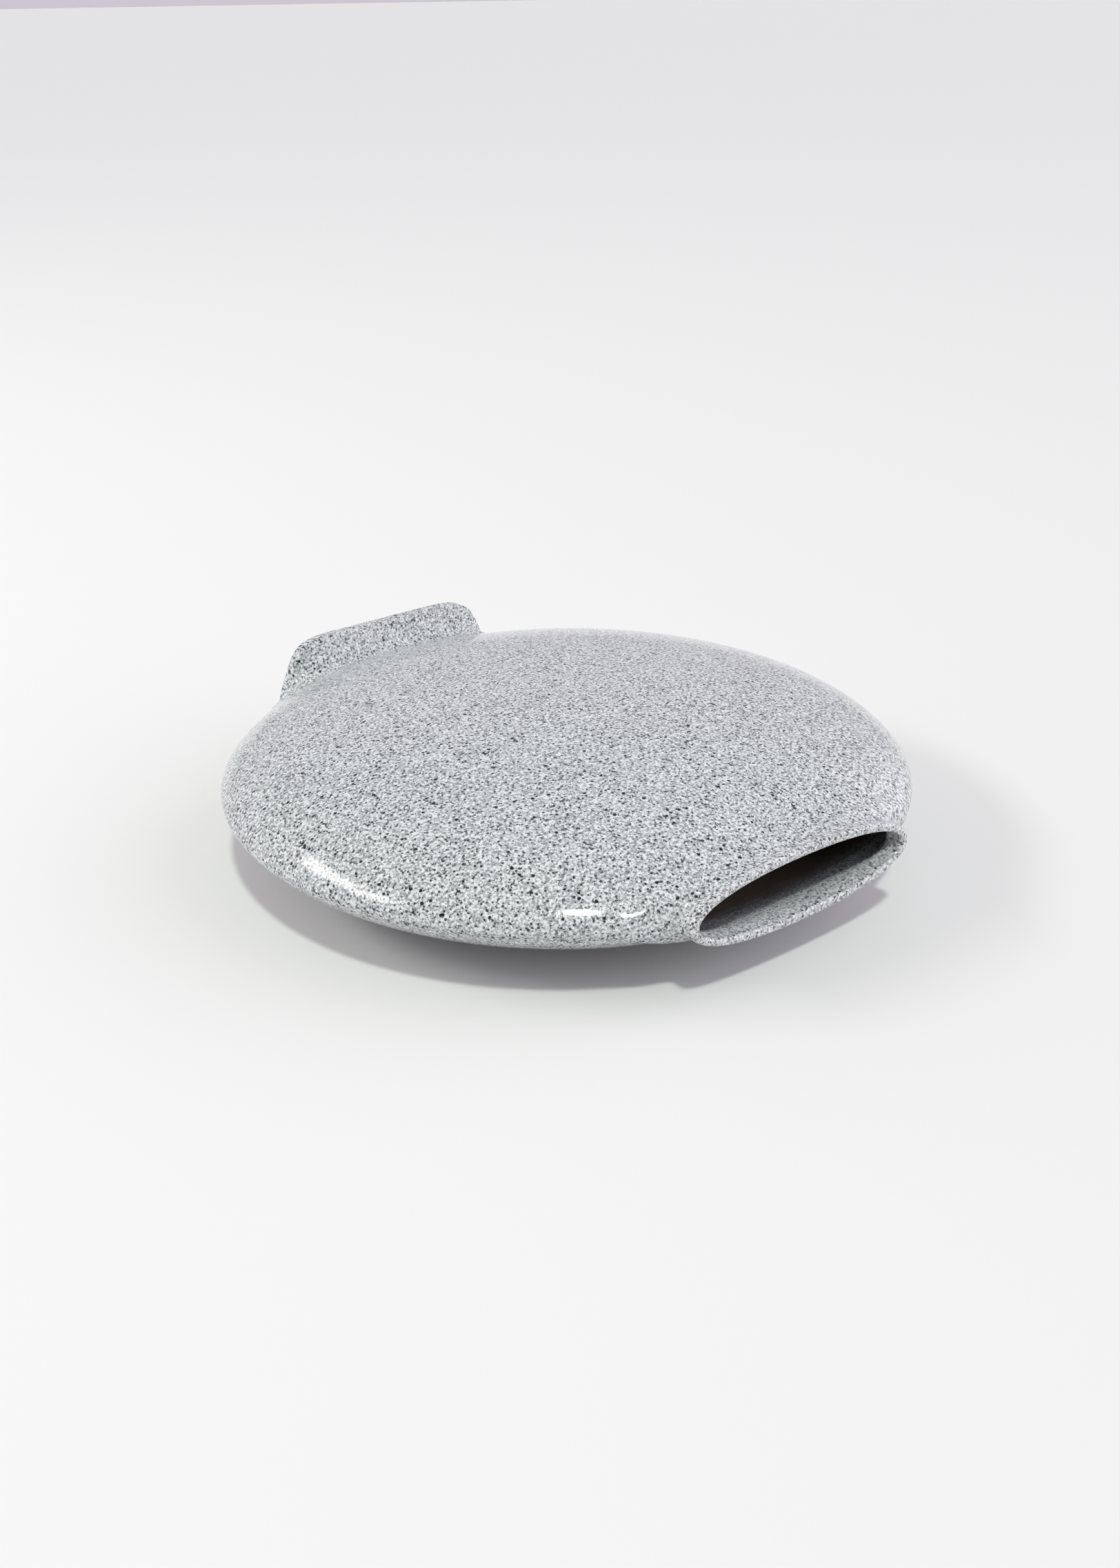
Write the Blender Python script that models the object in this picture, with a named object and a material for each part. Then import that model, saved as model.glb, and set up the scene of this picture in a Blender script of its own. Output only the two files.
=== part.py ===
"""Glazed ceramic disc flask lying on its lower dome.

Two pressed domes meet at a seam round the rim. A flared mouth collar is luted to one end
of them, and a base plate with a flared foot ring closes the other end.

Metres, +Z up. The disc lies flat: X runs across it, the mouth faces -Y and the foot +Y.
The origin is on the surface the flask lies on, below the middle of the disc.
"""

import bmesh
import bpy
import math
import numpy as np

# ---- disc ----
disc_radius = 0.135
belly_half_depth = 0.032
rim_slimming = 0.5            # share that the edge is slimmer than an ellipse's
rim_band = 0.107              # how far in from the edge the slimming reaches
neck_fill_start = 0.1125      # towards either end the slimming fades out, from here
neck_fill_full = 0.1235
foot_fill_start = 0.111
foot_fill_full = 0.122
end_squareness = 0.5          # how much squarer than an ellipse the slice is there
dome_wall = 0.0042
rim_wall = 0.0062             # wall at the seam, measured across the rim

# ---- mouth collar ----
mouth_reach = 0.1305          # lip plane, from the middle of the disc
mouth_half_width = 0.0530
mouth_half_depth = 0.0143
mouth_squareness = 2.2        # 2 is an ellipse
neck_side_start = 0.117       # where the sides begin to turn into the lip's
neck_side_full = 0.1275
neck_face_start = 0.100       # where the faces begin to turn into the lip's
neck_face_flare = 2.4         # 1 turns evenly, more turns late and sharply
neck_joint = 0.113            # where the collar is luted to the domes
lip_wall = 0.0036
lip_round = 0.0017
lip_squareness = 3.0

# ---- foot ----
foot_reach = 0.1305           # bearing face, from the middle of the disc
foot_half_width = 0.0545      # at the seam plane
foot_flat_half_width = 0.0425 # along the flat top and bottom edges
foot_half_depth = 0.0273
foot_squareness = 8.0
foot_side_start = 0.1165      # where the sides begin to turn into the flange
foot_side_full = 0.1255
foot_face_start = 0.114       # where the faces begin to turn into the flange
foot_face_flare = 3.2
flange_thickness = 0.0055
foot_ring_wall = 0.0062
foot_edge_round = 0.0014
base_joint = 0.1165           # where the base plate is luted to the domes
base_thickness = 0.0045
side_ridge_softness = 0.12    # rounds the ridge along each end of the foot

joint_gap = 0.0003            # slip-filled joint between neighbouring pieces

# ---- mesh ----
round_steps = 48              # points round a whole section
half_length_steps = 14        # sections from the middle of the disc to either joint
collar_steps = 7
plate_steps = 3
lip_steps = 5
foot_edge_steps = 3
sharp_edge_angle = 40.0       # degrees

glaze_grey = (0.60, 0.62, 0.62, 1.0)
collection_name = "ceramic_disc_flask"


def clear_scene():
    for item in list(bpy.data.objects):
        bpy.data.objects.remove(item, do_unlink=True)


def glaze(name, shade):
    material = bpy.data.materials.new(name)
    material.use_nodes = True
    shader = material.node_tree.nodes["Principled BSDF"]
    shader.inputs["Base Color"].default_value = tuple(shade * c for c in glaze_grey[:3]) + (1.0,)
    shader.inputs["Roughness"].default_value = 0.12
    shader.inputs["Metallic"].default_value = 0.0
    return material


# ---- sections: each returns x and z round the upright plane at y ----

def rounded_box_reach(turn, squareness):
    """How much farther than a circle a superellipse reaches in each direction."""
    total = np.abs(np.cos(turn)) ** squareness + np.abs(np.sin(turn)) ** squareness
    return total ** (-1.0 / squareness)


def flare(distance, start, full, power):
    """0 up to start, 1 from full on, and a rising curve between."""
    return min(max((distance - start) / (full - start), 0.0), 1.0) ** power


def s_curve(distance, start, full):
    """0 up to start, 1 from full on, level at both ends."""
    share = flare(distance, start, full, 1.0)
    return share * share * (3.0 - 2.0 * share)


def disc_section(y, turn):
    """Lens-shaped slice of the disc: slimmed towards the rim, but full near either end."""
    half_width = math.sqrt(disc_radius ** 2 - y ** 2)
    fill = s_curve(-y, neck_fill_start, neck_fill_full)
    fill += s_curve(y, foot_fill_start, foot_fill_full)
    inset = (half_width * np.sin(turn) / disc_radius) ** 2
    slim = np.sqrt(1.0 - rim_slimming * (1.0 - fill) * np.exp(-inset / rim_band))
    reach = rounded_box_reach(turn, 2.0 + end_squareness * fill)
    x = half_width * reach * np.cos(turn)
    z = belly_half_depth * (half_width / disc_radius) * reach * np.sin(turn) * slim
    return x, z


def mouth_section(turn):
    reach = rounded_box_reach(turn, mouth_squareness)
    return mouth_half_width * reach * np.cos(turn), mouth_half_depth * reach * np.sin(turn)


def foot_section(turn):
    """Superellipse whose ends lean in from the seam plane to the flat edges."""
    reach = rounded_box_reach(turn, foot_squareness)
    height = reach * np.sin(turn)
    lean = np.sqrt(height ** 2 + side_ridge_softness ** 2) - side_ridge_softness
    half_width = foot_half_width - (foot_half_width - foot_flat_half_width) * lean
    return half_width * reach * np.cos(turn), foot_half_depth * height


def outer_section(y, turn):
    """The disc's slice, turned step by step into the lip's or the foot's outline."""
    x, z = disc_section(y, turn)
    if y < 0.0:
        full = mouth_reach - lip_round
        side_share = s_curve(-y, neck_side_start, neck_side_full)
        face_share = flare(-y, neck_face_start, full, neck_face_flare)
        end_x, end_z = mouth_section(turn)
    else:
        full = foot_reach - flange_thickness
        side_share = s_curve(y, foot_side_start, foot_side_full)
        face_share = flare(y, foot_face_start, full, foot_face_flare)
        end_x, end_z = foot_section(turn)
    return x + side_share * (end_x - x), z + face_share * (end_z - z)


def loop(y, turn, side_wall=0.0, face_wall=0.0, at_y=None):
    """Points round the section at y, drawn in by a wall at the sides and at the faces."""
    x, z = outer_section(y, turn)
    full_turn = np.array([0.0, 0.5 * math.pi])
    edge_x, edge_z = outer_section(y, full_turn)
    x = x * (1.0 - side_wall / edge_x[0])
    z = z * (1.0 - face_wall / edge_z[1])
    place = np.full_like(x, y if at_y is None else at_y)
    return np.column_stack([x, place, z])


# ---- solids from rows of loops ----

def strips(rows, points, close_points):
    """Quads between each row of points and the next, the last row joining the first."""
    faces = []
    last = points if close_points else points - 1
    for row in range(rows):
        here = row * points
        there = ((row + 1) % rows) * points
        for i in range(last):
            j = (i + 1) % points
            faces.append((here + i, here + j, there + j, there + i))
    return faces


def add_solid(name, points, faces, collection, shade):
    mesh = bpy.data.meshes.new(name)
    mesh.from_pydata([tuple(p) for p in points], [], faces)
    work = bmesh.new()
    work.from_mesh(mesh)
    bmesh.ops.recalc_face_normals(work, faces=work.faces)
    work.to_mesh(mesh)
    work.free()
    mesh.shade_smooth()
    mesh.set_sharp_from_angle(angle=math.radians(sharp_edge_angle))
    piece = bpy.data.objects.new(name, mesh)
    piece.location = (0.0, 0.0, belly_half_depth)
    piece.data.materials.append(glaze(name + "_glaze", shade))
    collection.objects.link(piece)
    return piece


def ring_solid(name, loops, collection, shade):
    """Closed ring: the loops go out along the outside and back along the inside."""
    faces = strips(len(loops), len(loops[0]), True)
    return add_solid(name, np.vstack(loops), faces, collection, shade)


def plate_solid(name, loops, collection, shade):
    points = len(loops[0])
    faces = strips(len(loops), points, True)[:-points]
    faces.append(tuple(range(points)))
    faces.append(tuple(range((len(loops) - 1) * points, len(loops) * points)))
    return add_solid(name, np.vstack(loops), faces, collection, shade)


def half_shell_solid(name, outer, inner, collection, shade):
    """Half of the round: outer loops, inner loops back, and a flat seam face each side."""
    loops = outer + inner[::-1]
    points = len(loops[0])
    count = len(outer)
    faces = strips(len(loops), points, False)
    for edge in (0, points - 1):
        for i in range(count - 1):
            back = 2 * count - 1 - i
            corners = (i, i + 1, back - 1, back)
            faces.append(tuple(row * points + edge for row in corners))
    return add_solid(name, np.vstack(loops), faces, collection, shade)


# ---- pieces ----

def disc_stations():
    """Section places between the joints, equally spaced round the rim, one at the middle."""
    to_neck = -math.asin((neck_joint - joint_gap) / disc_radius)
    to_base = math.asin((base_joint - joint_gap) / disc_radius)
    angles = list(np.linspace(to_neck, 0.0, half_length_steps + 1))
    angles += list(np.linspace(0.0, to_base, half_length_steps + 1))[1:]
    return [disc_radius * math.sin(angle) for angle in angles]


def make_shell(name, first_turn, collection, shade):
    turn = first_turn + np.linspace(0.0, math.pi, round_steps // 2 + 1)
    side = 1.0 if first_turn == 0.0 else -1.0
    outer = [loop(y, turn) for y in disc_stations()]
    inner = [loop(y, turn, rim_wall, dome_wall) for y in disc_stations()]
    for points in outer + inner:
        points[:, 2] = side * np.maximum(side * points[:, 2], 0.5 * joint_gap)
    return half_shell_solid(name, outer, inner, collection, shade)


def lip_walls(y):
    """Side and face walls of the collar, easing from the domes' walls to the lip's."""
    ease = flare(-y, neck_joint, mouth_reach - lip_round, 1.0)
    side_wall = rim_wall + ease * (lip_wall - rim_wall)
    face_wall = dome_wall + ease * (lip_wall - dome_wall)
    return side_wall, face_wall


def rounded_edge(steps, squareness):
    """Pairs (across 0 to 1, out 0 to 1 to 0) over a rounded edge, without its two ends."""
    pairs = []
    for step in range(1, steps + 1):
        angle = math.pi * step / (steps + 1)
        along = math.copysign(abs(math.cos(angle)) ** (2.0 / squareness), math.cos(angle))
        out = math.sin(angle) ** (2.0 / squareness)
        pairs.append((0.5 * (1.0 - along), out))
    return pairs


def make_mouth_collar(collection, shade):
    turn = np.linspace(0.0, 2.0 * math.pi, round_steps, endpoint=False)
    lip_start = -(mouth_reach - lip_round)
    stations = np.linspace(-neck_joint, lip_start, collar_steps)
    outer = [loop(y, turn) for y in stations]
    inner = [loop(y, turn, *lip_walls(y)) for y in stations]
    lip = [
        loop(lip_start, turn, across * lip_wall, across * lip_wall, lip_start - out * lip_round)
        for across, out in rounded_edge(lip_steps, lip_squareness)
    ]
    return ring_solid("mouth_collar", outer + lip + inner[::-1], collection, shade)


def make_base_plate(collection, shade):
    turn = np.linspace(0.0, 2.0 * math.pi, round_steps, endpoint=False)
    stations = np.linspace(base_joint, base_joint + base_thickness, plate_steps)
    return plate_solid("base_plate", [loop(y, turn) for y in stations], collection, shade)


def quarter_round(radius, steps):
    """Pairs (drawn in, out) over a quarter round, without its first point."""
    angles = np.linspace(0.0, 0.5 * math.pi, steps + 1)[1:]
    return [(radius * (1.0 - math.cos(angle)), radius * math.sin(angle)) for angle in angles]


def make_foot_ring(collection, shade):
    turn = np.linspace(0.0, 2.0 * math.pi, round_steps, endpoint=False)
    ring_start = base_joint + base_thickness + joint_gap
    flange_start = foot_reach - flange_thickness
    edge_start = foot_reach - foot_edge_round
    stations = list(np.linspace(ring_start, flange_start, collar_steps)) + [edge_start]
    wall = foot_ring_wall
    outer = [loop(y, turn) for y in stations]
    inner = [loop(y, turn, wall, wall) for y in stations]
    corner = quarter_round(foot_edge_round, foot_edge_steps)
    outer_edge = [loop(edge_start, turn, in_, in_, edge_start + out) for in_, out in corner]
    inner_edge = [
        loop(edge_start, turn, wall - in_, wall - in_, edge_start + out)
        for in_, out in corner[::-1]
    ]
    loops = outer + outer_edge + inner_edge + inner[::-1]
    return ring_solid("foot_ring", loops, collection, shade)


def main():
    clear_scene()
    collection = bpy.data.collections.new(collection_name)
    bpy.context.scene.collection.children.link(collection)
    make_shell("upper_shell", 0.0, collection, 1.0)
    make_shell("lower_shell", math.pi, collection, 0.94)
    make_mouth_collar(collection, 1.04)
    make_base_plate(collection, 0.88)
    make_foot_ring(collection, 0.97)


main()
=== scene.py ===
# Speckled ceramic disc flask, lying on its side on a pale sweep.
# Metres, +Z up; the disc lies flat, the mouth faces -Y and the foot +Y.

import bpy
import math
import numpy as np
from mathutils import Matrix, Vector


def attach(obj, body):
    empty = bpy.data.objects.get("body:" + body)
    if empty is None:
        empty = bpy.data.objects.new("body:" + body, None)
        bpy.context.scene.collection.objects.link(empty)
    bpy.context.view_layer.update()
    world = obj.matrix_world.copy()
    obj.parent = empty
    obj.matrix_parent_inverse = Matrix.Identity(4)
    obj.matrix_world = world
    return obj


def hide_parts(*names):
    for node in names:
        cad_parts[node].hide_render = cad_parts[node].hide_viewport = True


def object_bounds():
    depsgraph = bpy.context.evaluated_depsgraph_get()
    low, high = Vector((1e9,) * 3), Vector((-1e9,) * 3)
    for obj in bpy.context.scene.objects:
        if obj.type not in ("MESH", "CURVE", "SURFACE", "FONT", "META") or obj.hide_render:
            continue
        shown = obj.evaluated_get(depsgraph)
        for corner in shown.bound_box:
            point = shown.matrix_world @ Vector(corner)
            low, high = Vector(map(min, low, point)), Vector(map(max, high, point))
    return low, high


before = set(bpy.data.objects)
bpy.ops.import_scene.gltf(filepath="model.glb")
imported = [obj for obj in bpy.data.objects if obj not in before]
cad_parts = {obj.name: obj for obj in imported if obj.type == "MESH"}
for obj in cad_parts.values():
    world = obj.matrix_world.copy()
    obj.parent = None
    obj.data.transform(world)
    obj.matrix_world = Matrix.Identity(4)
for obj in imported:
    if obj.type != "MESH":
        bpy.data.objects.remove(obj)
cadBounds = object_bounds()
lowCorner = np.array(cadBounds[0], float)
highCorner = np.array(cadBounds[1], float)
print("frame loaded", lowCorner.round(4), highCorner.round(4))


cameraPlan = {
    "place": (-0.3927, -0.4857, 0.3123),
    "looksAt": (-0.0131, -0.0123, 0.0320),
    "roll": -0.667,          # degrees, negative leans clockwise
    "lens": 39.6,
    "sensor": 36.0,
    "nearest": 0.01,
}


# camera at its place, turned from -Z towards the point it looks at, then rolled about its own axis
def makeCamera(plan):
    lensData = bpy.data.cameras.new("photoCamera")
    lensData.lens = plan["lens"]
    lensData.sensor_width = plan["sensor"]
    lensData.clip_start = plan["nearest"]
    camera = bpy.data.objects.new("photoCamera", lensData)
    bpy.context.scene.collection.objects.link(camera)
    aim = Vector(plan["looksAt"]) - Vector(plan["place"])
    turned = aim.to_track_quat("-Z", "Y").to_matrix() @ Matrix.Rotation(math.radians(plan["roll"]), 3, "Z")
    camera.matrix_world = Matrix.Translation(plan["place"]) @ turned.to_4x4()
    bpy.context.scene.camera = camera


disc = {
    "radius": 0.5 * (highCorner[0] - lowCorner[0]),
    "halfDepth": 0.5 * (highCorner[2] - lowCorner[2]),
    "rimSlimming": 0.5,      # share that the edge is slimmer than an ellipse's
    "rimBand": 0.107,        # how far in from the edge the slimming reaches
    "neckFillStart": 0.1125,  # the slimming fades out towards the neck, from here
    "neckFillFull": 0.1235,
    "footFillStart": 0.111,  # and towards the foot
    "footFillFull": 0.122,
    "endSquareness": 0.5,    # how much squarer than an ellipse the slice is there
    "domeWall": 0.0042,
    "rimWall": 0.0062,
}

mouth = {
    "reach": -lowCorner[1],
    "halfWidth": 0.0530,
    "halfDepth": 0.0143,
    "squareness": 2.2,       # 2 is an ellipse
    "sideStart": 0.117,      # where the sides begin to turn into the lip's
    "sideFull": 0.1275,
    "faceStart": 0.100,      # where the faces begin to turn into the lip's
    "faceFlare": 2.4,
    "joint": 0.113,
    "lipWall": 0.0036,
    "lipRound": 0.0017,
    "lipSquareness": 3.0,
}

foot = {
    "reach": highCorner[1],
    "halfWidth": 0.0545,     # at the seam plane
    "flatHalfWidth": 0.0425, # along the flat top and bottom edges
    "halfDepth": 0.0273,
    "squareness": 8.0,
    "sideStart": 0.1165,
    "sideFull": 0.1255,
    "faceStart": 0.114,
    "faceFlare": 3.2,
    "flange": 0.0055,
    "ringWall": 0.0062,
    "edgeRound": 0.0014,
    "joint": 0.1165,
    "plate": 0.0045,
    "ridgeSoftness": 0.12,
}

meshFineness = {
    "around": 288,
    "domeRows": 150,
    "neckRows": 44,
    "lipRows": 18,
    "footRows": 46,
    "edgeRows": 9,
    "plateRows": 5,
    "plateRings": 12,
}

tiny = 1e-15  # keeps a division or a root off zero


# share of the way from start to full, raised to a power: 0 before, 1 after
def flare(distance, start, full, power):
    return np.clip((distance - start) / (full - start), 0.0, 1.0) ** power


# the same share eased level at both ends: 3s^2 - 2s^3
def sCurve(distance, start, full):
    share = flare(distance, start, full, 1.0)
    return share * share * (3.0 - 2.0 * share)


# how much farther than a circle a superellipse reaches: (|cos|^n + |sin|^n)^(-1/n)
def superReach(turn, squareness):
    total = np.abs(np.cos(turn)) ** squareness + np.abs(np.sin(turn)) ** squareness
    return total ** (-1.0 / squareness)


# slice of the disc at y: half width sqrt(R^2 - y^2), height an ellipse's times a slimming near the rim,
# which gives way near either end to a fuller superellipse
def discSlice(y, turn):
    halfWidth = np.sqrt(np.maximum(disc["radius"] ** 2 - y ** 2, tiny))
    inset = (halfWidth * np.sin(turn) / disc["radius"]) ** 2
    fill = sCurve(-y, disc["neckFillStart"], disc["neckFillFull"])
    fill = fill + sCurve(y, disc["footFillStart"], disc["footFillFull"])
    slim = np.sqrt(1.0 - disc["rimSlimming"] * (1.0 - fill) * np.exp(-inset / disc["rimBand"]))
    reach = superReach(turn, 2.0 + disc["endSquareness"] * fill)
    x = halfWidth * reach * np.cos(turn)
    z = disc["halfDepth"] * (halfWidth / disc["radius"]) * reach * np.sin(turn) * slim
    return x, z


# the lip's superellipse: half width and half depth times its reach
def mouthOutline(turn):
    reach = superReach(turn, mouth["squareness"])
    return mouth["halfWidth"] * reach * np.cos(turn), mouth["halfDepth"] * reach * np.sin(turn)


# superellipse whose half width shrinks with height, softened where the two slopes meet
def footOutline(turn):
    reach = superReach(turn, foot["squareness"])
    height = reach * np.sin(turn)
    lean = np.sqrt(height ** 2 + foot["ridgeSoftness"] ** 2) - foot["ridgeSoftness"]
    halfWidth = foot["halfWidth"] - (foot["halfWidth"] - foot["flatHalfWidth"]) * lean
    return halfWidth * reach * np.cos(turn), foot["halfDepth"] * height


# the disc's slice moved towards the lip's outline at one end and the foot's at the other
def bodySlice(y, turn):
    x, z = discSlice(y, turn)
    mouthX, mouthZ = mouthOutline(turn)
    footX, footZ = footOutline(turn)
    lipPlane = mouth["reach"] - mouth["lipRound"]
    flangePlane = foot["reach"] - foot["flange"]
    toMouthSide = sCurve(-y, mouth["sideStart"], mouth["sideFull"])
    toMouthFace = flare(-y, mouth["faceStart"], lipPlane, mouth["faceFlare"])
    toFootSide = sCurve(y, foot["sideStart"], foot["sideFull"])
    toFootFace = flare(y, foot["faceStart"], flangePlane, foot["faceFlare"])
    x = x + toMouthSide * (mouthX - x) + toFootSide * (footX - x)
    z = z + toMouthFace * (mouthZ - z) + toFootFace * (footZ - z)
    return x, z


# a row per entry of (y, side wall, face wall, placed y): the slice at y scaled in by its walls
def skinRows(rows, turn):
    rows = np.asarray(rows, float)
    y = rows[:, 0:1]
    around = turn[None, :]
    x, z = bodySlice(y, around)
    edgeX = bodySlice(y, np.zeros((1, 1)))[0]
    edgeZ = bodySlice(y, np.full((1, 1), 0.5 * math.pi))[1]
    x = x * (1.0 - rows[:, 1:2] / edgeX)
    z = z * (1.0 - rows[:, 2:3] / edgeZ) + disc["halfDepth"]
    placed = np.broadcast_to(rows[:, 3:4], x.shape)
    return np.stack([x, placed, z], axis=-1)


# y of the dome's rows, R times the sine of evenly spaced angles, from the foot's joint to the neck's
def domeStations():
    first = math.asin(foot["joint"] / disc["radius"])
    last = -math.asin(mouth["joint"] / disc["radius"])
    return disc["radius"] * np.sin(np.linspace(first, last, meshFineness["domeRows"]))


# rows at the stations, each drawn in by the same two walls and placed at its own y
def plainRows(stations, sideWall, faceWall):
    ones = np.ones_like(stations)
    return np.column_stack([stations, sideWall * ones, faceWall * ones, stations])


# the neck's two walls, thinning evenly from the dome's to the lip's
def neckWalls(stations):
    ease = flare(-stations, mouth["joint"], mouth["reach"] - mouth["lipRound"], 1.0)
    side = disc["rimWall"] + ease * (mouth["lipWall"] - disc["rimWall"])
    face = disc["domeWall"] + ease * (mouth["lipWall"] - disc["domeWall"])
    return side, face


# half a superellipse over the lip: across 0 to 1, out 0 to 1 and back to 0
def lipRoll():
    lipStart = -(mouth["reach"] - mouth["lipRound"])
    angle = np.linspace(0.0, math.pi, meshFineness["lipRows"] + 2)[1:-1]
    power = 2.0 / mouth["lipSquareness"]
    across = 0.5 * (1.0 - np.sign(np.cos(angle)) * np.abs(np.cos(angle)) ** power)
    out = np.sin(angle) ** power
    wall = across * mouth["lipWall"]
    return np.column_stack([np.full_like(wall, lipStart), wall, wall, lipStart - out * mouth["lipRound"]])


# evenly spaced y from the neck's joint to the start of the lip's rounding
def neckStations():
    return np.linspace(-mouth["joint"], -(mouth["reach"] - mouth["lipRound"]), meshFineness["neckRows"])


# quarter circle over the foot's outer edge, flat bearing face, quarter circle over its inner edge
def footRoll():
    edgeStart = foot["reach"] - foot["edgeRound"]
    angle = np.linspace(0.0, 0.5 * math.pi, meshFineness["edgeRows"])
    drawnIn = foot["edgeRound"] * (1.0 - np.cos(angle))
    out = edgeStart + foot["edgeRound"] * np.sin(angle)
    outer = np.column_stack([np.full_like(out, edgeStart), drawnIn, drawnIn, out])
    innerWall = foot["ringWall"] - drawnIn[::-1]
    inner = np.column_stack([np.full_like(out, edgeStart), innerWall, innerWall, out[::-1]])
    return outer, inner


# evenly spaced y from the plate to the start of the foot's edge rounding
def footStations():
    ringStart = foot["joint"] + foot["plate"]
    return np.linspace(ringStart, foot["reach"] - foot["edgeRound"], meshFineness["footRows"])


# unit normals of the skin: the cross product of a short step round and a short step along the rows
def skinNormals(rows, turn):
    step = 1e-5
    rows = np.asarray(rows, float)
    along = np.gradient(rows, axis=0)
    along = along / np.linalg.norm(along, axis=1, keepdims=True)
    byRow = skinRows(rows + step * along, turn) - skinRows(rows - step * along, turn)
    byTurn = skinRows(rows, turn + step) - skinRows(rows, turn - step)
    normal = np.cross(byTurn, byRow)
    return normal / np.maximum(np.linalg.norm(normal, axis=-1, keepdims=True), tiny)


# the four corner numbers of every cell in a grid of point numbers
def gridCells(numbers):
    corners = [numbers[:-1, :-1], numbers[:-1, 1:], numbers[1:, 1:], numbers[1:, :-1]]
    return np.stack(corners, axis=-1).reshape(-1, 4)


# the unit normal of each flat face, from its first three corners
def flatNormals(points, faces):
    first, second, third = (points[faces[:, i]] for i in range(3))
    normal = np.cross(second - first, third - second)
    return normal / np.maximum(np.linalg.norm(normal, axis=1, keepdims=True), tiny)


# one mesh from its points: smooth cells take the skin's normals and flat faces their own;
# faces whose corners all lie inside get the second material
def meshPiece(name, points, normals, smoothCells, flatFaces, inside):
    points = points.reshape(-1, 3)
    faces = smoothCells.tolist()
    corners = [normals.reshape(-1, 3)[smoothCells].reshape(-1, 3)]
    lined = [inside[smoothCells].all(axis=1)]
    for group in flatFaces:
        faces += group.tolist()
        corners.append(np.repeat(flatNormals(points, group), group.shape[1], axis=0))
        lined.append(inside[group].all(axis=1))
    mesh = bpy.data.meshes.new(name)
    mesh.from_pydata(points.tolist(), [], faces)
    mesh.shade_smooth()
    mesh.materials.append(None)
    mesh.materials.append(None)
    mesh.polygons.foreach_set("material_index", np.concatenate(lined).astype(np.int32))
    mesh.normals_split_custom_set(np.concatenate(corners).tolist())
    mesh.update()
    piece = bpy.data.objects.new(name, mesh)
    bpy.context.scene.collection.objects.link(piece)
    return piece


# half of the round: outside rows, inside rows back, a flat face at each joint and along the seam
def makeDome(name, firstTurn):
    stations = domeStations()
    turn = firstTurn + np.linspace(0.0, math.pi, meshFineness["around"] // 2 + 1)
    outer = plainRows(stations, 0.0, 0.0)
    inner = plainRows(stations[::-1], disc["rimWall"], disc["domeWall"])
    points = np.concatenate([skinRows(outer, turn), skinRows(inner, turn)])
    normals = np.concatenate([skinNormals(outer, turn), skinNormals(inner, turn)])
    count, columns = len(stations), len(turn)
    numbers = np.arange(2 * count * columns).reshape(2 * count, columns)
    smooth = np.vstack([gridCells(numbers[:count]), gridCells(numbers[count:])])
    joints = np.vstack([gridCells(numbers[count - 1:count + 1]), gridCells(numbers[[-1, 0]])])
    outside, back = numbers[:count], numbers[count:][::-1]
    firstSeam = gridCells(np.column_stack([back[:, 0], outside[:, 0]]))
    lastSeam = gridCells(np.column_stack([outside[:, -1], back[:, -1]]))
    inside = np.arange(2 * count * columns) >= count * columns
    return meshPiece(name, points, normals, smooth, [joints, firstSeam, lastSeam], inside)


# evenly spaced angles once round, the last short of the first
def fullTurn():
    return np.linspace(0.0, 2.0 * math.pi, meshFineness["around"], endpoint=False)


# numbers of the rings of a closed round, the first point of each repeated at its end
def closedNumbers(first, rings):
    columns = meshFineness["around"]
    numbers = first + np.arange(rings * columns).reshape(rings, columns)
    return np.concatenate([numbers, numbers[:, :1]], axis=1)


# a closed ring: rows out along the outside and back along the inside, joined by one flat face
def makeRing(name, rows, firstInside):
    points = skinRows(rows, fullTurn())
    normals = skinNormals(rows, fullTurn())
    closed = closedNumbers(0, len(rows))
    inside = np.arange(len(rows) * meshFineness["around"]) >= firstInside * meshFineness["around"]
    return meshPiece(name, points, normals, gridCells(closed), [gridCells(closed[[-1, 0]])], inside)


# the neck's outside, over the lip, and back inside with the neck's walls
def makeMouthCollar():
    stations = neckStations()
    back = stations[::-1]
    sideWall, faceWall = neckWalls(back)
    outer = plainRows(stations, 0.0, 0.0)
    lip = lipRoll()
    inner = np.column_stack([back, sideWall, faceWall, back])
    rows = np.vstack([outer, lip, inner])
    return makeRing("mouthCollar", rows, len(outer) + len(lip))


# the foot's outside, over its bearing face, and back inside with the ring's wall
def makeFootRing():
    stations = footStations()[:-1]
    outerEdge, innerEdge = footRoll()
    outer = plainRows(stations, 0.0, 0.0)
    inner = plainRows(stations[::-1], foot["ringWall"], foot["ringWall"])
    rows = np.vstack([outer, outerEdge, innerEdge, inner])
    return makeRing("footRing", rows, len(outer) + len(outerEdge) + len(innerEdge))


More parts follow.
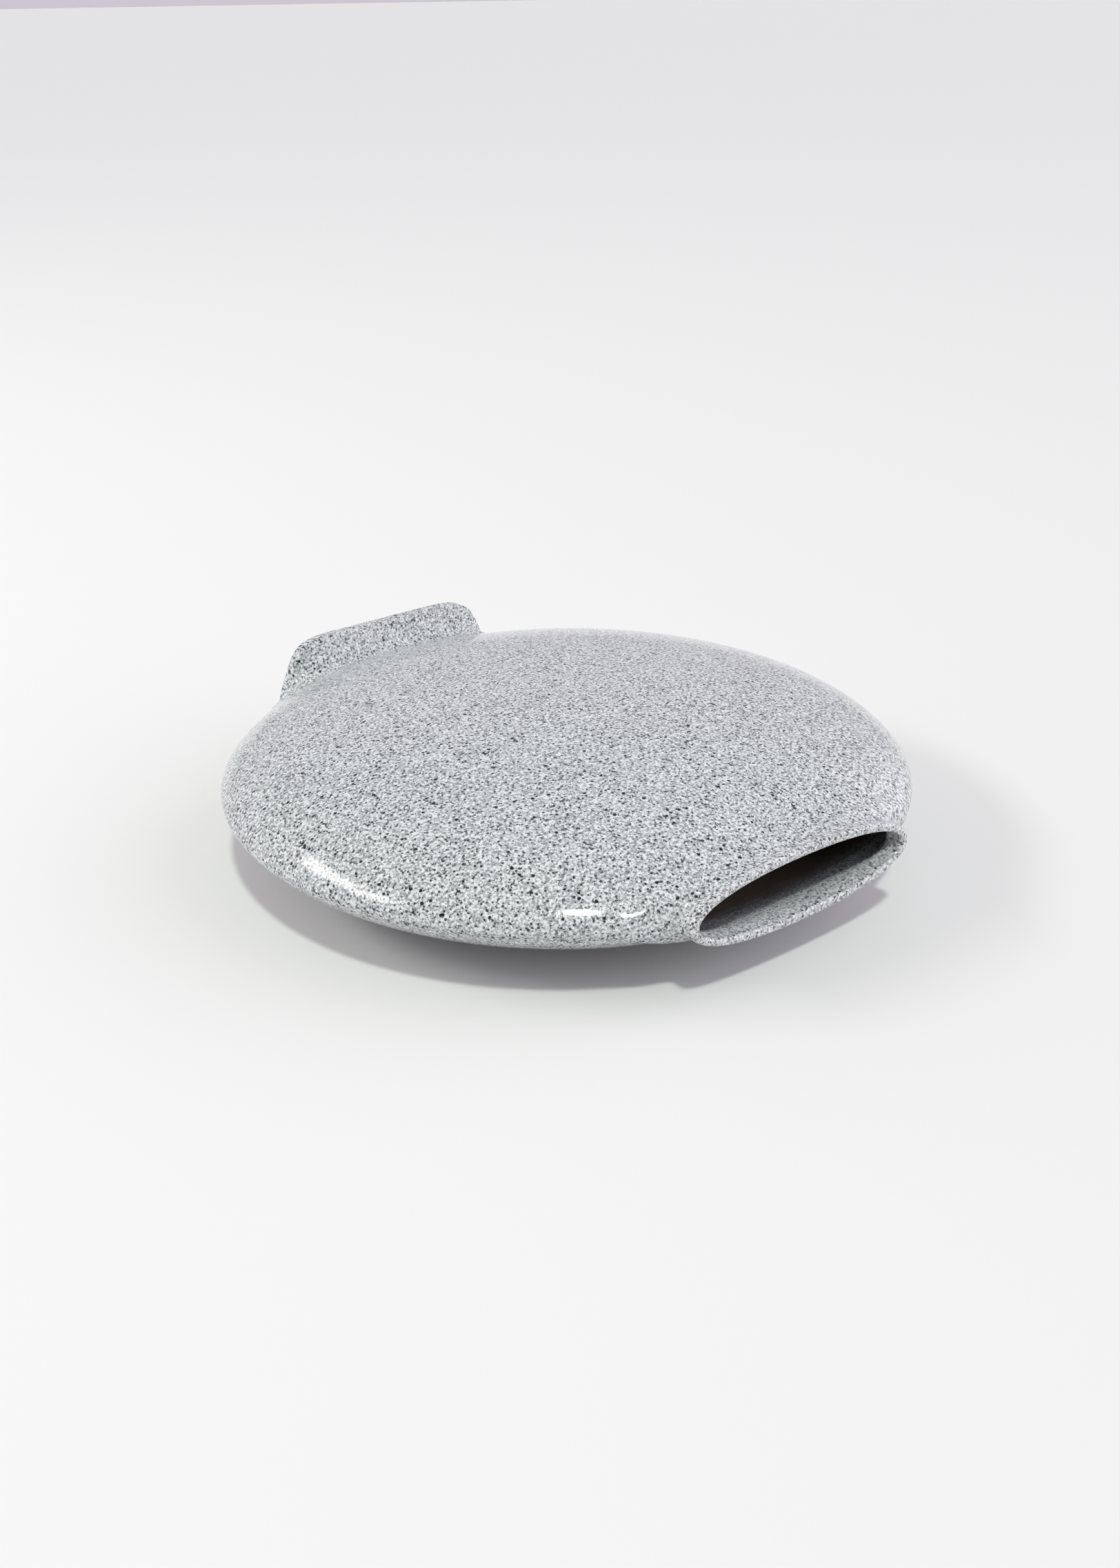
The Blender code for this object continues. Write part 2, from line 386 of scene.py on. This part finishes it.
# a plate across the round: its edge band, then rings drawn in evenly to a middle point on each face
def makeBasePlate():
    columns = meshFineness["around"]
    stations = np.linspace(foot["joint"] + foot["plate"], foot["joint"], meshFineness["plateRows"])
    rows = plainRows(stations, 0.0, 0.0)
    band = skinRows(rows, fullTurn())
    bandNormals = skinNormals(rows, fullTurn())
    shrink = np.linspace(1.0, 0.0, meshFineness["plateRings"] + 1)[1:-1, None, None]
    points, flatFaces = [band.reshape(-1, 3)], []
    for edgeRow, outward in ((0, True), (len(rows) - 1, False)):
        middle = np.array([0.0, band[edgeRow, 0, 1], disc["halfDepth"]])
        rings = middle + (band[edgeRow] - middle) * shrink
        first = sum(len(group) for group in points)
        edge = closedNumbers(edgeRow * columns, 1)
        drawn = np.vstack([edge, closedNumbers(first, len(rings))])
        pole = np.full(columns, first + len(rings) * columns)
        fan = np.column_stack([drawn[-1, :-1], drawn[-1, 1:], pole])
        cells = gridCells(drawn)
        flatFaces += [cells[:, ::-1], fan[:, ::-1]] if outward else [cells, fan]
        points += [rings.reshape(-1, 3), middle[None]]
    points = np.vstack(points)
    normals = np.zeros_like(points)
    normals[:len(rows) * columns] = bandNormals.reshape(-1, 3)
    smooth = gridCells(closedNumbers(0, len(rows)))
    return meshPiece("basePlate", points, normals, smooth, flatFaces, np.zeros(len(points), bool))


# an output socket: arithmetic on it adds Math nodes
class Wire:
    def __init__(self, socket):
        self.socket = socket

    # another output of the same node
    def also(self, output):
        return Wire(self.socket.node.outputs[output])

    # a Math node on two values or Wires
    def math(self, operation, first, second):
        tree = self.socket.id_data
        return addNode(tree, "ShaderNodeMath", {"operation": operation}, {0: first, 1: second})

    def __add__(self, other):
        return self.math("ADD", self, other)

    def __radd__(self, other):
        return self.math("ADD", other, self)

    def __sub__(self, other):
        return self.math("SUBTRACT", self, other)

    def __rsub__(self, other):
        return self.math("SUBTRACT", other, self)

    def __mul__(self, other):
        return self.math("MULTIPLY", self, other)

    def __rmul__(self, other):
        return self.math("MULTIPLY", other, self)


# any node: its settings first, then its sockets, each a value or a Wire; gives one output
def addNode(tree, kind, settings=None, sockets=None, output=0):
    node = tree.nodes.new(kind)
    for setting, value in (settings or {}).items():
        setattr(node, setting, value)
    for socket, value in (sockets or {}).items():
        if isinstance(value, Wire):
            tree.links.new(value.socket, node.inputs[socket])
        else:
            node.inputs[socket].default_value = value
    return Wire(node.outputs[output])


# share of the first colour that gives way to the second
def mixColour(tree, share, first, second):
    return addNode(tree, "ShaderNodeMix", {"data_type": "RGBA"}, {0: share, 6: first, 7: second}, 2)


# 0 below the low value, 1 above the high one, eased between
def fade(tree, value, low, high):
    sockets = {"Value": value, "From Min": low, "From Max": high}
    return addNode(tree, "ShaderNodeMapRange", {"interpolation_type": "SMOOTHSTEP"}, sockets)


noiseRoughness = 0.55


# soft noise, 0 to 1, whose lumps are about size across
def noise(tree, place, size, detail):
    sockets = {"Vector": place, "Scale": 1.0 / size, "Detail": detail, "Roughness": noiseRoughness}
    return addNode(tree, "ShaderNodeTexNoise", {}, sockets)


# distance to the middle of the nearest cell, in cells; its second output is the cell's own colour
def cellNoise(tree, place, size):
    sockets = {"Vector": place, "Scale": 1.0 / size}
    return addNode(tree, "ShaderNodeTexVoronoi", {"feature": "F1"}, sockets)


graniteGlaze = {
    "white": (0.755, 0.780, 0.790, 1.0),
    "grey": (0.275, 0.295, 0.305, 1.0),
    "dark": (0.022, 0.024, 0.027, 1.0),
    "black": (0.007, 0.007, 0.008, 1.0),
    "cloudGrain": 0.00098,
    "cloudFade": (0.36, 0.64),
    "flakeGrain": 0.0012,
    "flakeFade": (0.575, 0.635),
    "flakeCover": 0.88,
    "speckSpacing": 0.00145,
    "speckShare": 0.70,           # of the cells that hold a speck
    "speckReach": (0.17, 0.36),   # in cells, from the smallest to the largest
    "speckCover": 0.92,
    "dotSpacing": 0.0028,
    "dotShare": 0.78,
    "dotReach": (0.14, 0.25),
    "sparseSpacing": 0.0035,
    "sparseShare": 0.38,
    "sparseReach": (0.12, 0.20),
    "crowding": 0.014,            # size of the patches where the black dots crowd
    "crowdFade": (0.47, 0.56),
    "raggedBy": 0.00024,
    "raggedGrain": 0.0007,
    "spotEdge": 0.05,             # softness of a spot's edge, in cells
    "gloss": 0.12,
    "rippleHeight": 0.000009,
    "rippleSize": 0.0030,
    "ior": 1.5,
}

lipGlaze = {
    "colour": (0.60, 0.53, 0.51, 1.0),
    "cover": 0.10,
    "from": 0.0002,               # how far in from the lip plane it is whole, and gone
    "to": 0.0014,
}

insideGlaze = {
    "haze": (0.44, 0.45, 0.48, 1.0),
    "hazeCover": 0.35,
    "clay": (0.26, 0.21, 0.17, 1.0),
    "clayRough": 0.72,
    "depth": 0.020,               # how far in from the lip the glaze runs
    "runOut": 0.012,              # and over what length it gives way to clay
    "runWave": 0.010,
    "waveSize": 0.012,
    "plateFrom": 0.001,           # past the foot's joint the recess is glazed again
    "plateTo": 0.002,
}

bareClay = {
    "colour": (0.42, 0.33, 0.25, 1.0),
    "pale": (0.62, 0.53, 0.43, 1.0),
    "grain": 0.0007,
    "grainHeight": 0.00006,
    "rough": 0.75,
    "from": 0.0009,               # how far from the bearing face the glaze ends, and is gone
    "to": 0.0003,
}


# spots round the middles of a share of the cells: 1 where the distance is under the cell's own reach
def spots(tree, place, spacing, share, reach):
    smallest, largest = reach
    edge = graniteGlaze["spotEdge"]
    distance = cellNoise(tree, place, spacing)
    draw = addNode(tree, "ShaderNodeSeparateColor", {}, {0: distance.also(1)})
    ownReach = smallest + (largest - smallest) * fade(tree, draw, 1.0 - share, 1.0)
    held = fade(tree, draw, 0.999 - share, 1.001 - share)
    return fade(tree, ownReach - distance, -edge, edge) * held


# the place moved a little each way by a fine noise, so that edges come out ragged
def raggedPlace(tree, place):
    g = graniteGlaze
    lumps = noise(tree, place, g["raggedGrain"], 1.0).also(1)
    middle = (0.5, 0.5, 0.5)
    wobble = addNode(tree, "ShaderNodeVectorMath", {"operation": "SUBTRACT"}, {0: lumps, 1: middle})
    sockets = {0: wobble, 1: (g["raggedBy"] * 2.0,) * 3, 2: place}
    return addNode(tree, "ShaderNodeVectorMath", {"operation": "MULTIPLY_ADD"}, sockets)


# white ground, grey clouds between, thin dark flakes, fine dark specks, then ragged black dots
def granite(tree, place):
    g = graniteGlaze
    ragged = raggedPlace(tree, place)
    grey = fade(tree, noise(tree, ragged, g["cloudGrain"], 4.0), *g["cloudFade"])
    flake = fade(tree, noise(tree, ragged, g["flakeGrain"], 4.0), *g["flakeFade"])
    crowd = fade(tree, noise(tree, place, g["crowding"], 2.0), *g["crowdFade"])
    speck = spots(tree, ragged, g["speckSpacing"], g["speckShare"], g["speckReach"])
    sparseDot = spots(tree, ragged, g["sparseSpacing"], g["sparseShare"], g["sparseReach"])
    crowdedDot = spots(tree, ragged, g["dotSpacing"], g["dotShare"], g["dotReach"]) * crowd
    dot = sparseDot + crowdedDot - sparseDot * crowdedDot
    colour = mixColour(tree, grey, g["white"], g["grey"])
    colour = mixColour(tree, flake * g["flakeCover"], colour, g["dark"])
    colour = mixColour(tree, speck * g["speckCover"], colour, g["dark"])
    return mixColour(tree, dot, colour, g["black"])


# a material and its shader
def newMaterial(name):
    material = bpy.data.materials.new(name)
    material.use_nodes = True
    return material, material.node_tree.nodes["Principled BSDF"]


# the object's own coordinates, and y alone
def objectPlace(tree):
    place = addNode(tree, "ShaderNodeTexCoord", {}, {}, 3)
    return place, addNode(tree, "ShaderNodeSeparateXYZ", {}, {0: place}, 1)


# a Wire into one of the shader's sockets
def link(wire, shader, socket):
    wire.socket.id_data.links.new(wire.socket, shader.inputs[socket])


# height of the slow waves in the glaze
def glazeRipple(tree, place):
    return noise(tree, place, graniteGlaze["rippleSize"], 1.0) * graniteGlaze["rippleHeight"]


# a normal tilted by a height in metres
def bumped(tree, height):
    return addNode(tree, "ShaderNodeBump", {}, {"Strength": 1.0, "Distance": 1.0, "Height": height})


# glaze outside, bare clay on the foot's bearing face, a thin warm glaze on the lip's edge
def makeOuterGlaze():
    material, shader = newMaterial("graniteGlaze")
    tree = material.node_tree
    place, y = objectPlace(tree)
    bare = fade(tree, y, foot["reach"] - bareClay["from"], foot["reach"] - bareClay["to"])
    thin = 1.0 - fade(tree, y, lipGlaze["from"] - mouth["reach"], lipGlaze["to"] - mouth["reach"])
    colour = mixColour(tree, thin * lipGlaze["cover"], granite(tree, place), lipGlaze["colour"])
    clayGrain = noise(tree, place, bareClay["grain"], 3.0)
    clay = mixColour(tree, clayGrain, bareClay["colour"], bareClay["pale"])
    link(mixColour(tree, bare, colour, clay), shader, "Base Color")
    gloss = graniteGlaze["gloss"]
    link(bare * (bareClay["rough"] - gloss) + gloss, shader, "Roughness")
    height = glazeRipple(tree, place) + clayGrain * bare * bareClay["grainHeight"]
    link(bumped(tree, height), shader, "Normal")
    shader.inputs["IOR"].default_value = graniteGlaze["ior"]
    return material


# the same glaze just inside the lip, running out to bare clay deeper in, and again in the foot's recess
def makeInnerGlaze():
    material, shader = newMaterial("innerGlaze")
    tree = material.node_tree
    place, y = objectPlace(tree)
    edge = insideGlaze["depth"] - mouth["reach"]
    wave = noise(tree, place, insideGlaze["waveSize"], 2.0) * insideGlaze["runWave"]
    bare = fade(tree, y + wave, edge, edge + insideGlaze["runOut"])
    recess = fade(tree, y, foot["joint"] + insideGlaze["plateFrom"], foot["joint"] + insideGlaze["plateTo"])
    bare = bare * (1.0 - recess)
    colour = mixColour(tree, insideGlaze["hazeCover"], granite(tree, place), insideGlaze["haze"])
    link(mixColour(tree, bare, colour, insideGlaze["clay"]), shader, "Base Color")
    gloss = graniteGlaze["gloss"]
    link(bare * (insideGlaze["clayRough"] - gloss) + gloss, shader, "Roughness")
    link(bumped(tree, glazeRipple(tree, place)), shader, "Normal")
    return material


studio = {
    "floor": (0.78, 0.78, 0.775, 1.0),
    "floorSize": 80.0,
    "floorRough": 0.9,
    "floorSpecular": 0.1,
    "roomFront": 0.07,            # radiance all round, and all there is where the viewer stands
    "roomLow": 0.95,              # added on the other sides, near the floor
    "roomHigh": 0.41,             # and overhead
    "roomBack": (-0.88, -0.45),   # cosine of the direction ahead, from unlit to lit
    "roomRise": (0.22, 0.62),     # sine of the elevation, from low to high
    "backdropDip": 0.42,          # taken off straight ahead, where the backdrop is
    "backdropFade": (0.45, 0.85),
    "roomRight": 1.10,            # added on the viewer's right
    "rightFade": (0.35, 0.90),
    "roomTint": (1.01, 0.95, 1.05, 1.0),
    "roomFacing": 51.3,           # azimuth the viewer looks along
    "keyAzimuth": -123.0,
    "keyElevation": 60.0,
    "keyDistance": 2.0,
    "keyAngle": 4.8,
    "keyStrength": 1.32,
    "keyColour": (0.98, 1.07, 0.96),
    "windowAzimuth": 150.0,
    "windowElevation": 36.0,
    "windowDistance": 2.4,
    "windowSize": (1.52, 0.40),
    "windowPower": 19.0,
    "windowColour": (1.0, 0.97, 0.93),
}


# one square face at the height of the flask's lowest point
def makeFloor():
    half = 0.5 * studio["floorSize"]
    level = float(lowCorner[2])
    corners = [(-half, -half, level), (half, -half, level), (half, half, level), (-half, half, level)]
    mesh = bpy.data.meshes.new("paleFloor")
    mesh.from_pydata(corners, [], [(0, 1, 2, 3)])
    floor = bpy.data.objects.new("paleFloor", mesh)
    bpy.context.scene.collection.objects.link(floor)
    material, shader = newMaterial("paleCloth")
    shader.inputs["Base Color"].default_value = studio["floor"]
    shader.inputs["Roughness"].default_value = studio["floorRough"]
    shader.inputs["Specular IOR Level"].default_value = studio["floorSpecular"]
    mesh.materials.append(material)
    return floor


# unit direction to a light: (cos e cos a, cos e sin a, sin e), azimuth a from +X and elevation e
def towards(azimuth, elevation):
    a, e = math.radians(azimuth), math.radians(elevation)
    return Vector((math.cos(e) * math.cos(a), math.cos(e) * math.sin(a), math.sin(e)))


# a lamp out along the direction, its back to it, so that it shines at the origin
def makeLamp(name, kind, direction, distance):
    lamp = bpy.data.objects.new(name, bpy.data.lights.new(name, kind))
    turned = direction.to_track_quat("Z", "Y").to_matrix().to_4x4()
    lamp.matrix_world = Matrix.Translation(direction * distance) @ turned
    bpy.context.scene.collection.objects.link(lamp)
    return lamp


# cosine between a direction and a fixed one
def along(tree, direction, fixed):
    return addNode(tree, "ShaderNodeVectorMath", {"operation": "DOT_PRODUCT"}, {0: direction, 1: fixed}, 1)


# soft room: dark behind the viewer, bright low down on the other sides, dimmer overhead
def makeRoom():
    world = bpy.data.worlds.new("softRoom")
    world.use_nodes = True
    tree = world.node_tree
    direction = addNode(tree, "ShaderNodeTexCoord", {}, {}, 0)
    ahead = along(tree, direction, towards(studio["roomFacing"], 0.0))
    aside = along(tree, direction, towards(studio["roomFacing"] - 90.0, 0.0))
    up = addNode(tree, "ShaderNodeSeparateXYZ", {}, {0: direction}, 2)
    lit = fade(tree, ahead, *studio["roomBack"])
    high = fade(tree, up, *studio["roomRise"])
    low = studio["roomLow"] - studio["backdropDip"] * fade(tree, ahead, *studio["backdropFade"])
    strength = studio["roomFront"] + lit * (low * (1.0 - high) + studio["roomHigh"] * high)
    strength = strength + studio["roomRight"] * fade(tree, aside, *studio["rightFade"])
    background = tree.nodes["Background"]
    background.inputs["Color"].default_value = studio["roomTint"]
    link(strength, background, "Strength")
    return world


# the key is a small far sun, the window an oblong area lamp; the room lights the rest
def makeLights():
    toKey = towards(studio["keyAzimuth"], studio["keyElevation"])
    key = makeLamp("keyLight", "SUN", toKey, studio["keyDistance"])
    key.data.energy = studio["keyStrength"]
    key.data.angle = math.radians(studio["keyAngle"])
    key.data.color = studio["keyColour"]
    toWindow = towards(studio["windowAzimuth"], studio["windowElevation"])
    window = makeLamp("windowLight", "AREA", toWindow, studio["windowDistance"])
    window.data.shape = "RECTANGLE"
    window.data.size, window.data.size_y = studio["windowSize"]
    window.data.energy = studio["windowPower"]
    window.data.color = studio["windowColour"]
    bpy.context.scene.world = makeRoom()
    bpy.context.scene.view_settings.view_transform = "Standard"


makeCamera(cameraPlan)
makeLights()
floor = makeFloor()
print("studio ready")

outerGlaze = makeOuterGlaze()
innerGlaze = makeInnerGlaze()


# gives a piece its two finishes and sets it on the body in its CAD node's place
def fit(piece, node):
    piece.data.materials[0] = outerGlaze
    piece.data.materials[1] = innerGlaze
    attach(piece, "root")
    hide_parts(node)
    print(piece.name, "built,", len(piece.data.polygons), "faces")


fit(makeDome("upperDome", 0.0), "upper_shell")
fit(makeDome("lowerDome", math.pi), "lower_shell")
fit(makeMouthCollar(), "mouth_collar")
fit(makeBasePlate(), "base_plate")
fit(makeFootRing(), "foot_ring")
